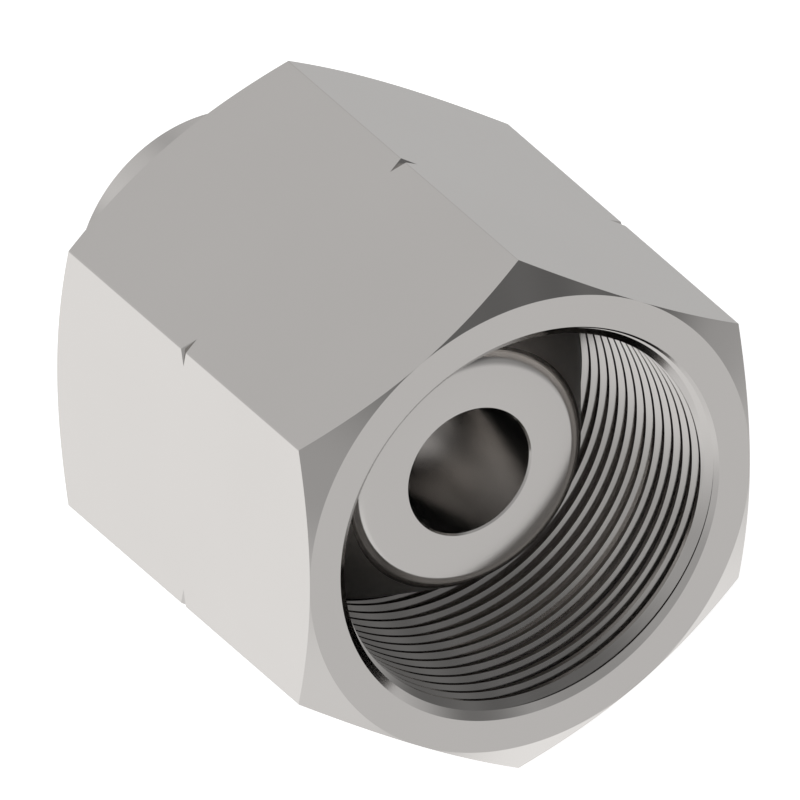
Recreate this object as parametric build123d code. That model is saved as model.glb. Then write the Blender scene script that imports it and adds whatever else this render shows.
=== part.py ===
from build123d import *
import os
from math import cos, radians, tan

# A protection cap, turned in one piece from hexagon steel bar. A threaded recess with a coned nose in its
# middle opens at the front, and a plain round boss stands at the rear.
# Millimetres. The cap lies on one flat of its hexagon. The origin is the centre of the open end's face,
# +Y runs back along the cap's axis and +Z is up.

# Hexagon and the turned ends of its corners
hexagon_sides = 6
across_flats = 41.0
hexagon_length = 40.8
end_chamfer_angle = 30.0

# The V groove that notches every corner of the hexagon half way along
notch_width = 0.8
notch_angle = 60.0

# Thread in the recess. It stands here as a plain wall at the thread's minor diameter.
thread_diameter = 35.0
thread_pitch = 1.5
thread_angle = 60.0
mouth_diameter = 35.3
mouth_chamfer_angle = 45.0

# Nose in the middle of the recess: a cone that meets the thread's wall at its foot
nose_recess = 9.7
nose_diameter = 20.7
nose_cone_angle = 60.0
nose_rounding = 1.6

# Blind hole in the nose, with a drilled bottom
bore_diameter = 11.2
bore_depth = 24.0
bore_edge = 0.15
drill_point_angle = 118.0

# Boss behind the hexagon
boss_diameter = 24.0
boss_length = 11.6

# A turned internal thread keeps five eighths of its sharp V's height.
thread_share_of_v = 5 / 8

# How far the shapes that cut the corners reach outside them
cutting_margin = 1.0


def face_radius():
    """Radius of the circle that just touches the hexagon's flats."""
    return across_flats / 2


def corner_radius():
    """Distance of the hexagon's corners from the axis."""
    return face_radius() / cos(radians(180 / hexagon_sides))


def height_of_v(width, angle):
    """Height of a V of the stated width and included angle."""
    return width / 2 / tan(radians(angle / 2))


def turned(*points):
    """Solid of revolution about the cap's axis. Each point is (radius, distance behind the open face)."""
    return revolve(make_face(Polyline(*points, close=True)), Axis.Y)


def hexagon_bar():
    """Hexagon bar with a flat underneath."""
    section = Plane.XZ * RegularPolygon(face_radius(), hexagon_sides, major_radius=False)
    return extrude(section, -hexagon_length)


def barrel():
    """What turning leaves of the bar: both ends are chamfered from the circle inside the flats."""
    outside = corner_radius() + cutting_margin
    chamfer_depth = (outside - face_radius()) * tan(radians(end_chamfer_angle))
    return turned(
        (0, 0),
        (face_radius(), 0),
        (outside, chamfer_depth),
        (outside, hexagon_length - chamfer_depth),
        (face_radius(), hexagon_length),
        (0, hexagon_length),
    )


def notch_ring():
    """Ring that cuts the V groove. It reaches only the hexagon's corners."""
    groove_depth = height_of_v(notch_width, notch_angle)
    half_width = notch_width / 2 * (groove_depth + cutting_margin) / groove_depth
    outside = corner_radius() + cutting_margin
    middle = hexagon_length / 2
    return turned(
        (corner_radius() - groove_depth, middle),
        (outside, middle - half_width),
        (outside, middle + half_width),
    )


def boss():
    """Plain round boss on the hexagon's rear face."""
    radius = boss_diameter / 2
    end = hexagon_length + boss_length
    return turned((0, hexagon_length), (radius, hexagon_length), (radius, end), (0, end))


def recess():
    """The space inside the threaded wall, down to the nose's cone."""
    thread_depth = height_of_v(thread_pitch, thread_angle) * thread_share_of_v
    wall_radius = thread_diameter / 2 - thread_depth
    mouth_radius = mouth_diameter / 2
    nose_radius = nose_diameter / 2
    chamfer_depth = (mouth_radius - wall_radius) / tan(radians(mouth_chamfer_angle))
    foot = nose_recess + (wall_radius - nose_radius) / tan(radians(nose_cone_angle / 2))
    space = make_face(
        Polyline(
            (0, 0),
            (mouth_radius, 0),
            (wall_radius, chamfer_depth),
            (wall_radius, foot),
            (nose_radius, nose_recess),
            (0, nose_recess),
            close=True,
        )
    )
    nose_edge = space.vertices().sort_by_distance((nose_radius, nose_recess))[0]
    return revolve(fillet(nose_edge, nose_rounding), Axis.Y)


def bore():
    """Blind hole in the nose, with its edge broken."""
    radius = bore_diameter / 2
    full_depth = nose_recess + bore_depth
    return turned(
        (0, nose_recess),
        (radius + bore_edge, nose_recess),
        (radius, nose_recess + bore_edge),
        (radius, full_depth),
        (0, full_depth + height_of_v(bore_diameter, drill_point_angle)),
    )


def cap():
    """The whole cap, one solid of steel."""
    return (hexagon_bar() & barrel()) - notch_ring() + boss() - recess() - bore()


os.makedirs("parts", exist_ok=True)
export_step(cap(), "parts/cap.step")
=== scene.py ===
import bmesh
import bpy
from math import cos, radians, sin, sqrt, tan
from mathutils import Matrix, Vector


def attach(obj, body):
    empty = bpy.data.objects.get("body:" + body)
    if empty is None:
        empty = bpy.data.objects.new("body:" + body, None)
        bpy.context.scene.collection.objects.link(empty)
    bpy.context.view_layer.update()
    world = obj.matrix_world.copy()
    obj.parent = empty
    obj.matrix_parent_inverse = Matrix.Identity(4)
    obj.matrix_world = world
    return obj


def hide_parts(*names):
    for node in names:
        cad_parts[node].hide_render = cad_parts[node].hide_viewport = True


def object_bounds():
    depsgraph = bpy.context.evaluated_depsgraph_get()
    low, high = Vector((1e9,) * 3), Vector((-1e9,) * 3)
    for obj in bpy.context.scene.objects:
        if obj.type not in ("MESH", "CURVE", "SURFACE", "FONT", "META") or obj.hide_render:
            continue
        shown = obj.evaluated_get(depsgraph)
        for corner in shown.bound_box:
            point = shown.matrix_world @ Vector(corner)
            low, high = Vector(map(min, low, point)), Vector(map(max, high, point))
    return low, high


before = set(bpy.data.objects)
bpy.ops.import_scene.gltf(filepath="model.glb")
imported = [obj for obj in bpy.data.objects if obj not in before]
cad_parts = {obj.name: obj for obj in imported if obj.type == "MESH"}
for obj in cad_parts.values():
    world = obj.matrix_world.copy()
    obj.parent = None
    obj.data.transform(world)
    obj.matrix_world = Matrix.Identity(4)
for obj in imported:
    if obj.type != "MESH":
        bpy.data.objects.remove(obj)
cad_low, cad_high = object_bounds()

# ---- The cap's sizes in millimetres, as in the solid ----
# The outline's points are (radius, depth behind the open face). A slope is depth per radius for the chamfer
# and the notch, and radius per depth for the nose's cone and the drill's point.
MM = 0.001
FACE_RADIUS = 20.5
HEX_LENGTH = 40.8
END_CHAMFER_SLOPE = tan(radians(30))
NOTCH_WIDTH = 0.8
NOTCH_SLOPE = tan(radians(30))
MOUTH_RADIUS = 17.65
NOSE_RECESS = 9.7
NOSE_RADIUS = 10.35
NOSE_ROUNDING = 1.6
CONE_TURN = radians(60)
CONE_SLOPE = tan(radians(30))
BORE_RADIUS = 5.6
BORE_DEPTH = 24.0
BORE_EDGE = 0.15
DRILL_SLOPE = tan(radians(59))
BOSS_RADIUS = 12.0
BOSS_LENGTH = 11.6

# Small edges that the solid leaves sharp
CORNER_ROUNDING = 0.1
BOSS_EDGE = 0.05

# ---- The thread: a right-hand helix of one start, as measured in the photograph ----
# Its crests stand 0.14 mm inside the plain wall that the solid has at the standard size.
PITCH = 1.48
CREST_RADIUS = 16.55
GROOVE_WIDTH = PITCH * 3 / 4
ROOT_FLAT = 0.05
FLANK_ANGLE = radians(30)
FLANK = (GROOVE_WIDTH - ROOT_FLAT) / 2
ROOT_RADIUS = CREST_RADIUS + FLANK / tan(FLANK_ANGLE)
# Depth of one groove's near edge at 0 degrees, where +X is 0 and +Z is 90, and the grooves counted from it.
# They reach past both ends of the thread, and what lies past an end is moved onto its edge.
GROOVE_START = 11.63
GROOVES = range(-10, 8)
# Where the nose's cone meets the crests
FOOT = NOSE_RECESS + (CREST_RADIUS - NOSE_RADIUS) / CONE_SLOPE
# The floor that ends the last groove there, as depth per radius
FLOOR_SLOPE = tan(radians(30))

# ---- Mesh ----
ROUNDING_STEPS = 10
# Degrees from a corner of the hexagon where the whole degrees are too coarse
CORNER_STEPS = (0.035, 0.07, 0.105, 0.14, 0.5, 1.5, 2.5, 3.14)
# Metres
MERGE_DISTANCE = 2e-7
SMALLEST_EDGE = 1e-8
# The mouth's chamfer meets the thread's flanks at only 15 degrees, and that edge is sharp too.
SHARP_ANGLE = radians(12)

# Finishes, as the order of the cap's materials
TURNED, DRAWN, DRILLED, CONE = range(4)


def crossing(p, q, side):
    """Where the line from p to q meets side = 0."""
    a, b = side(p), side(q)
    t = a / (a - b)
    return (p[0] + (q[0] - p[0]) * t, p[1] + (q[1] - p[1]) * t)


def past_mouth(p):
    """Above 0 for a point that the mouth's chamfer doesn't cut away."""
    return p[0] + p[1] - MOUTH_RADIUS


def above_foot(p):
    """Above 0 for a point on the open side of the floor that ends the last groove."""
    return FOOT + FLOOR_SLOPE * (p[0] - CREST_RADIUS) - p[1]


def thread_points(angle):
    """The threaded wall's outline at that angle, from the mouth to the foot, always with as many points."""
    chamfer_end = (CREST_RADIUS, MOUTH_RADIUS - CREST_RADIUS)
    foot = (CREST_RADIUS, FOOT)
    raw = []
    for groove in GROOVES:
        start = GROOVE_START + PITCH * (groove - angle / 360)
        raw += [
            (CREST_RADIUS, start),
            (ROOT_RADIUS, start + FLANK),
            (ROOT_RADIUS, start + FLANK + ROOT_FLAT),
            (CREST_RADIUS, start + 2 * FLANK + ROOT_FLAT),
        ]
    out = []
    for i, p in enumerate(raw):
        before, after = raw[max(i - 1, 0)], raw[min(i + 1, len(raw) - 1)]
        starts_groove, ends_groove = i % 4 == 0, i % 4 == 3
        if past_mouth(p) <= 0:
            if past_mouth(after) > 0 and not ends_groove:
                new = crossing(p, after, past_mouth)
            elif past_mouth(before) > 0:
                new = crossing(before, p, past_mouth)
            else:
                depth = min(max(p[1], 0.0), chamfer_end[1])
                new = (MOUTH_RADIUS - depth, depth)
        elif above_foot(p) <= 0:
            reached = above_foot(before) > 0 and not starts_groove
            new = crossing(before, p, above_foot) if reached else foot
        else:
            new = p
        out.append(new)
        if ends_groove:
            # the corner that stands between this groove and the next, if there is one
            if past_mouth(p) <= 0 < past_mouth(after):
                out.append(chamfer_end)
            elif above_foot(p) <= 0:
                out.append(foot)
            else:
                out.append(new)
    return out


def nose_rounding_points():
    """The rounded edge of the nose, from its flat end to its cone."""
    reach = NOSE_ROUNDING * tan(CONE_TURN / 2)
    centre = (NOSE_RADIUS - reach, NOSE_RECESS + NOSE_ROUNDING)
    turns = (CONE_TURN * i / ROUNDING_STEPS for i in range(ROUNDING_STEPS + 1))
    return [(centre[0] + NOSE_ROUNDING * sin(a), centre[1] - NOSE_ROUNDING * cos(a)) for a in turns]


def hexagon_radius(angle):
    """Distance from the axis to the bar's side at that angle, with a slightly rounded corner."""
    off = abs((angle + 30) % 60 - 30)
    flat = FACE_RADIUS / cos(radians(30 - off))
    centre = (FACE_RADIUS - CORNER_ROUNDING) / cos(radians(30))
    side = centre * sin(radians(off))
    # the rounding turns 30 degrees to each side of the corner, so it ends at half its radius
    if side >= CORNER_ROUNDING / 2:
        return flat
    return min(flat, centre * cos(radians(off)) + sqrt(CORNER_ROUNDING**2 - side**2))


def column(angle):
    """The cap's whole outline at that angle, from the bore's end to the boss's end.

    Each point is (radius, depth, finish of the strip from it to the next point).
    """
    side = hexagon_radius(angle)
    chamfer = (side - FACE_RADIUS) * END_CHAMFER_SLOPE
    corner = FACE_RADIUS / cos(radians(30))
    notch_bottom = corner - NOTCH_WIDTH / 2 / NOTCH_SLOPE
    notch = max(side - notch_bottom, 0.0) * NOTCH_SLOPE
    middle = HEX_LENGTH / 2
    bore_end = NOSE_RECESS + BORE_DEPTH
    rear = HEX_LENGTH + BOSS_LENGTH
    rounding = nose_rounding_points()
    bore = [(0.0, bore_end + BORE_RADIUS / DRILL_SLOPE), (BORE_RADIUS, bore_end)]
    bore_mouth = [(BORE_RADIUS, NOSE_RECESS + BORE_EDGE), (BORE_RADIUS + BORE_EDGE, NOSE_RECESS)]
    wall = [(CREST_RADIUS, FOOT)] + thread_points(angle)[::-1] + [(MOUTH_RADIUS, 0.0)]
    notch_points = [(side, middle - notch), (min(side, notch_bottom), middle)]
    hexagon_end = [(side, HEX_LENGTH - chamfer), (FACE_RADIUS, HEX_LENGTH)]
    boss = [(BOSS_RADIUS, HEX_LENGTH), (BOSS_RADIUS, rear - BOSS_EDGE)]
    boss_end = [(BOSS_RADIUS - BOSS_EDGE, rear), (0.0, rear)]
    runs = [
        (DRILLED, bore),
        (TURNED, bore_mouth + rounding[:-1]),
        (CONE, rounding[-1:]),
        (TURNED, wall + [(FACE_RADIUS, 0.0)]),
        (DRAWN, [(side, chamfer)]),
        (TURNED, notch_points),
        (DRAWN, [(side, middle + notch)]),
        (TURNED, hexagon_end + boss + boss_end),
    ]
    return [(r, d, finish) for finish, points in runs for r, d in points]


def column_angles():
    """Every degree, and closer together at the hexagon's corners, where the notches and rounded edges are."""
    angles = {float(i) for i in range(360)}
    for corner in range(0, 360, 60):
        for step in CORNER_STEPS:
            angles |= {(corner + step) % 360, (corner - step) % 360}
    return sorted(angles) + [360.0]


def make_cap():
    """The cap as one closed mesh, with the thread's turns cut in its wall."""
    bm = bmesh.new()
    columns = []
    for angle in column_angles():
        c, s = cos(radians(angle)) * MM, sin(radians(angle)) * MM
        columns.append([(bm.verts.new((r * c, d * MM, r * s)), finish) for r, d, finish in column(angle)])
    for a, b in zip(columns, columns[1:]):
        for (a0, finish), (a1, _), (b1, _), (b0, _) in zip(a, a[1:], b[1:], b):
            bm.faces.new((a0, a1, b1, b0)).material_index = finish
    bmesh.ops.remove_doubles(bm, verts=bm.verts, dist=MERGE_DISTANCE)
    bmesh.ops.dissolve_degenerate(bm, edges=bm.edges, dist=SMALLEST_EDGE)
    bmesh.ops.recalc_face_normals(bm, faces=bm.faces)
    mesh = bpy.data.meshes.new("cap_turned")
    bm.to_mesh(mesh)
    bm.free()
    mesh.shade_smooth()
    mesh.set_sharp_from_angle(angle=SHARP_ANGLE)
    obj = bpy.data.objects.new("cap_turned", mesh)
    bpy.context.scene.collection.objects.link(obj)
    return obj


cap = make_cap()
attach(cap, "root")
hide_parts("cap")

# ---- Materials ----
STEEL_DARK = (0.60, 0.58, 0.562, 1)
STEEL_LIGHT = (0.625, 0.605, 0.587, 1)
STEEL_ROUGHNESS = (0.1, 0.14)
# The drill left a rougher surface, and so did the tool that cut the cone. Their steel is also painted
# brighter than the rest, as painted light that lifts the shade deep in the bore and on the cone.
PAINTED_LIGHT_DRILLED_DARK = (0.79, 0.77, 0.75, 1)
PAINTED_LIGHT_DRILLED_LIGHT = (0.83, 0.81, 0.79, 1)
DRILLED_ROUGHNESS = (0.18, 0.23)
CONE_ROUGHNESS = (0.38, 0.46)
# Keeps the steel from going pale where it is seen at a low angle
EDGE_TINT = (0.7, 0.7, 0.7, 1)
# Tool lines: heights in metres, and how much longer the drawn ones are than they are wide
LINES_PER_METRE = 9000
LINE_HEIGHT = 0.0000015
DRILLED_LINE_HEIGHT = 0.000001
LINE_STRETCH = 60
LINE_DETAIL = 3.0
BUMP_STRENGTH = 0.5
# Clouds of slightly darker and lighter steel
CLOUD_SCALE = 60
CLOUD_DETAIL = 2.0


def new_material(name):
    m = bpy.data.materials.new(name)
    m.use_nodes = True
    m.node_tree.nodes.clear()
    return m, m.node_tree.nodes, m.node_tree.links


def steel(name, pattern, dark, light, roughness, line_height):
    """Satin steel with fine tool lines. The pattern turns a place on the part into one in their noise."""
    m, nodes, links = new_material(name)
    out = nodes.new("ShaderNodeOutputMaterial")
    bsdf = nodes.new("ShaderNodeBsdfPrincipled")
    bsdf.inputs["Metallic"].default_value = 1.0
    bsdf.inputs["Specular Tint"].default_value = EDGE_TINT
    links.new(bsdf.outputs[0], out.inputs["Surface"])
    coord = nodes.new("ShaderNodeTexCoord")

    lines = nodes.new("ShaderNodeTexNoise")
    lines.inputs["Scale"].default_value = 1.0
    lines.inputs["Detail"].default_value = LINE_DETAIL
    links.new(pattern(nodes, links, coord.outputs["Object"]), lines.inputs["Vector"])
    cloud = nodes.new("ShaderNodeTexNoise")
    cloud.inputs["Scale"].default_value = CLOUD_SCALE
    cloud.inputs["Detail"].default_value = CLOUD_DETAIL
    links.new(coord.outputs["Object"], cloud.inputs["Vector"])

    tone = nodes.new("ShaderNodeMix")
    tone.data_type = "RGBA"
    tone.inputs["A"].default_value = dark
    tone.inputs["B"].default_value = light
    links.new(cloud.outputs["Fac"], tone.inputs["Factor"])
    links.new(tone.outputs["Result"], bsdf.inputs["Base Color"])

    rough = nodes.new("ShaderNodeMapRange")
    rough.inputs["To Min"].default_value, rough.inputs["To Max"].default_value = roughness
    links.new(lines.outputs["Fac"], rough.inputs["Value"])
    links.new(rough.outputs["Result"], bsdf.inputs["Roughness"])

    bump = nodes.new("ShaderNodeBump")
    bump.inputs["Strength"].default_value = BUMP_STRENGTH
    bump.inputs["Distance"].default_value = line_height
    links.new(lines.outputs["Fac"], bump.inputs["Height"])
    links.new(bump.outputs["Normal"], bsdf.inputs["Normal"])
    return m


def along_the_bar(nodes, links, place):
    """Drawn lines run along Y."""
    scale = nodes.new("ShaderNodeVectorMath")
    scale.operation = "MULTIPLY"
    scale.inputs[1].default_value = (LINES_PER_METRE, LINES_PER_METRE / LINE_STRETCH, LINES_PER_METRE)
    links.new(place, scale.inputs[0])
    return scale.outputs["Vector"]


def round_the_axis(nodes, links, place):
    """Turned lines run round Y, so their pattern depends on the radius and the depth alone."""
    across = nodes.new("ShaderNodeVectorMath")
    across.operation = "MULTIPLY"
    across.inputs[1].default_value = (1, 0, 1)
    links.new(place, across.inputs[0])
    radius = nodes.new("ShaderNodeVectorMath")
    radius.operation = "LENGTH"
    links.new(across.outputs["Vector"], radius.inputs[0])
    parts = nodes.new("ShaderNodeSeparateXYZ")
    links.new(place, parts.inputs[0])
    pair = nodes.new("ShaderNodeCombineXYZ")
    links.new(radius.outputs["Value"], pair.inputs["X"])
    links.new(parts.outputs["Y"], pair.inputs["Y"])
    scale = nodes.new("ShaderNodeVectorMath")
    scale.operation = "SCALE"
    scale.inputs["Scale"].default_value = LINES_PER_METRE
    links.new(pair.outputs["Vector"], scale.inputs[0])
    return scale.outputs["Vector"]


# In the order of TURNED, DRAWN, DRILLED and CONE
FINISHES = [
    ("turned_steel", round_the_axis, STEEL_DARK, STEEL_LIGHT, STEEL_ROUGHNESS, LINE_HEIGHT),
    ("drawn_steel", along_the_bar, STEEL_DARK, STEEL_LIGHT, STEEL_ROUGHNESS, LINE_HEIGHT),
    # The drilled and cone steels are painted brighter than the rest: painted light in the shade of the deep
    # bore and the cone.
    ("drilled_steel_painted_light", round_the_axis, PAINTED_LIGHT_DRILLED_DARK, PAINTED_LIGHT_DRILLED_LIGHT, DRILLED_ROUGHNESS, DRILLED_LINE_HEIGHT),
    ("cone_steel_painted_light", round_the_axis, PAINTED_LIGHT_DRILLED_DARK, PAINTED_LIGHT_DRILLED_LIGHT, CONE_ROUGHNESS, DRILLED_LINE_HEIGHT),
]
for finish in FINISHES:
    cap.data.materials.append(steel(*finish))

# ---- Floor ----
FLOOR_SIZE = 6
FLOOR_COLOUR = (0.8, 0.8, 0.8, 1)
FLOOR_GLOW = 0.8


def make_floor():
    """A white floor that keeps the cap's shadow. Mirrored rays pass it and reach the pale studio below."""
    bpy.ops.mesh.primitive_plane_add(size=FLOOR_SIZE, location=(0, 0, cad_low.z))
    floor = bpy.context.object
    floor.name = "floor"
    m, nodes, links = new_material("pale_floor")
    out = nodes.new("ShaderNodeOutputMaterial")
    diffuse = nodes.new("ShaderNodeBsdfDiffuse")
    diffuse.inputs["Color"].default_value = FLOOR_COLOUR
    path = nodes.new("ShaderNodeLightPath")
    straight = nodes.new("ShaderNodeMath")
    straight.operation = "MAXIMUM"
    links.new(path.outputs["Is Camera Ray"], straight.inputs[0])
    links.new(path.outputs["Is Transmission Ray"], straight.inputs[1])
    seen = nodes.new("ShaderNodeMath")
    seen.operation = "MULTIPLY"
    seen.inputs[1].default_value = FLOOR_GLOW
    links.new(straight.outputs[0], seen.inputs[0])
    glow = nodes.new("ShaderNodeEmission")
    links.new(seen.outputs[0], glow.inputs["Strength"])
    white = nodes.new("ShaderNodeAddShader")
    links.new(diffuse.outputs[0], white.inputs[0])
    links.new(glow.outputs[0], white.inputs[1])
    clear = nodes.new("ShaderNodeBsdfTransparent")
    either = nodes.new("ShaderNodeMixShader")
    links.new(path.outputs["Is Glossy Ray"], either.inputs[0])
    links.new(white.outputs[0], either.inputs[1])
    links.new(clear.outputs[0], either.inputs[2])
    links.new(either.outputs[0], out.inputs["Surface"])
    floor.data.materials.append(m)


make_floor()

# ---- Light ----
# The studio is pale all round and paler below, with a soft change between two heights of a ray's direction.
STUDIO_LIGHT = 0.472
LOWER_LIGHT = 0.28
LOWER_END, STUDIO_START = -0.3, 0.1
# Round lamps add light to it and dark cloths take it away, up to this many degrees from their middle:
# compass angle from +X, height over the floor, strength in the middle
LAMP_REACH = 34
LAMPS = [
    (113, -6, 0.64),
    (85, -76, 0.6),
    (105, 48, 0.29),
    (80, -17, 0.2),
    (66, 9, 0.22),
    (130, 26, 0.12),
    (198, 0, 0.16),
    (221, -42, 0.18),
]
CLOTHS = [
    (323, -35, -0.3),
    (283, 3, -0.27),
    (335, -3, -0.26),
    (303, -15, -0.21),
    (295, 35, -0.08),
]


def toward(compass, height):
    """Unit vector at a compass angle from +X and a height over the floor."""
    c, h = radians(compass), radians(height)
    return Vector((cos(c) * cos(h), sin(c) * cos(h), sin(h)))


def make_world():
    """The studio. Past the floor's edge the camera sees plain white."""
    world = bpy.data.worlds.new("studio")
    bpy.context.scene.world = world
    world.use_nodes = True
    nodes, links = world.node_tree.nodes, world.node_tree.links
    nodes.clear()
    out = nodes.new("ShaderNodeOutputWorld")
    back = nodes.new("ShaderNodeBackground")
    back.inputs["Color"].default_value = (1, 1, 1, 1)
    links.new(back.outputs[0], out.inputs["Surface"])
    coord = nodes.new("ShaderNodeTexCoord")

    parts = nodes.new("ShaderNodeSeparateXYZ")
    links.new(coord.outputs["Generated"], parts.inputs[0])
    ground = nodes.new("ShaderNodeMapRange")
    ground.interpolation_type = "SMOOTHSTEP"
    ground.inputs["From Min"].default_value = LOWER_END
    ground.inputs["From Max"].default_value = STUDIO_START
    ground.inputs["To Min"].default_value = STUDIO_LIGHT + LOWER_LIGHT
    ground.inputs["To Max"].default_value = STUDIO_LIGHT
    links.new(parts.outputs["Z"], ground.inputs["Value"])
    total = ground.outputs["Result"]
    for compass, height, strength in LAMPS + CLOTHS:
        dot = nodes.new("ShaderNodeVectorMath")
        dot.operation = "DOT_PRODUCT"
        dot.inputs[1].default_value = toward(compass, height)
        links.new(coord.outputs["Generated"], dot.inputs[0])
        lamp = nodes.new("ShaderNodeMapRange")
        lamp.interpolation_type = "SMOOTHSTEP"
        lamp.inputs["From Min"].default_value = cos(radians(LAMP_REACH))
        lamp.inputs["From Max"].default_value = 1.0
        lamp.inputs["To Max"].default_value = strength
        links.new(dot.outputs["Value"], lamp.inputs["Value"])
        add = nodes.new("ShaderNodeMath")
        add.operation = "ADD"
        links.new(total, add.inputs[0])
        links.new(lamp.outputs["Result"], add.inputs[1])
        total = add.outputs[0]
    path = nodes.new("ShaderNodeLightPath")
    shown = nodes.new("ShaderNodeMix")
    links.new(path.outputs["Is Camera Ray"], shown.inputs["Factor"])
    links.new(total, shown.inputs["A"])
    shown.inputs["B"].default_value = 1.0
    links.new(shown.outputs["Result"], back.inputs["Strength"])


make_world()

# ---- Camera: parallel, at the photograph's angle ----
TO_CAMERA = Vector((-0.125, -0.75, 0.649519))
IMAGE_RIGHT = Vector((0.75, -0.5, -0.433013))
IMAGE_UP = Vector((0.649519, 0.433013, 0.625))
# The picture's middle, in millimetres: a point on the cap's axis, then the way right and up from it
AXIS_POINT = Vector((0, 1.83, 0))
SHIFT_RIGHT, SHIFT_UP = -9.566, 9.203
# Metres
PICTURE_WIDTH = 0.06455
CAMERA_DISTANCE = 0.5
CLIP_START, CLIP_END = 0.01, 5


def make_camera():
    data = bpy.data.cameras.new("camera")
    data.type = "ORTHO"
    data.ortho_scale = PICTURE_WIDTH
    data.clip_start, data.clip_end = CLIP_START, CLIP_END
    camera = bpy.data.objects.new("camera", data)
    bpy.context.scene.collection.objects.link(camera)
    aim = AXIS_POINT + SHIFT_RIGHT * IMAGE_RIGHT + SHIFT_UP * IMAGE_UP
    turn = Matrix((IMAGE_RIGHT, IMAGE_UP, TO_CAMERA)).transposed().to_4x4()
    camera.matrix_world = Matrix.Translation(aim * MM + TO_CAMERA * CAMERA_DISTANCE) @ turn
    bpy.context.scene.camera = camera


make_camera()

bpy.context.scene.view_settings.view_transform = "Standard"
